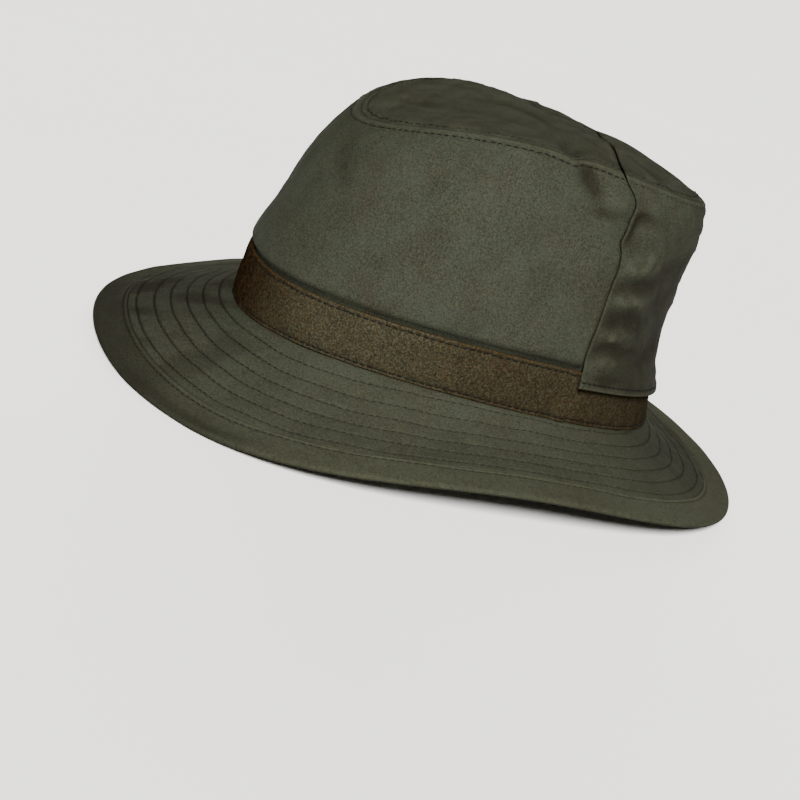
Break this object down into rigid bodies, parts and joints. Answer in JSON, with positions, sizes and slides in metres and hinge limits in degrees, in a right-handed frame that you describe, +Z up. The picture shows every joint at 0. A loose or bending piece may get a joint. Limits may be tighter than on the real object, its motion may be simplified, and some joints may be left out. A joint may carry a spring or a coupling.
{
  "type": "hunting hat",
  "caption": "Waxed cotton hunting hat with a stitched drooping brim, a leather band, a flat-topped crown, a reversible cover over its rear half, and ear flaps stowed inside.",
  "frame": {"origin": "on the floor under the middle of the hat's outline, where the brim's rim rests", "axes": "+Z up through the crown, -Y the way the wearer looks, +X the wearer's left"},
  "size_m": [0.2818, 0.3132, 0.1429],
  "materials": {
    "waxed_cotton": "olive waxed cotton twill, dull, mottled with wear",
    "band_leather": "brown waxed suede leather with lighter raw edges",
    "flap_cloth": "dark grey-green brushed cloth",
    "flap_tape": "black woven binding tape"
  },
  "bodies": {
    "root": {"brim": "waxed_cotton", "brim_border": "waxed_cotton", "crown_side": "waxed_cotton", "crown_tip": "waxed_cotton", "cover_side": "waxed_cotton", "cover_tip": "waxed_cotton", "band_front": "band_leather", "band_rear": "band_leather", "ear_flap_left": "flap_cloth", "flap_binding_left": "flap_tape", "ear_flap_right": "flap_cloth", "flap_binding_right": "flap_tape"}
  },
  "joints": []
}
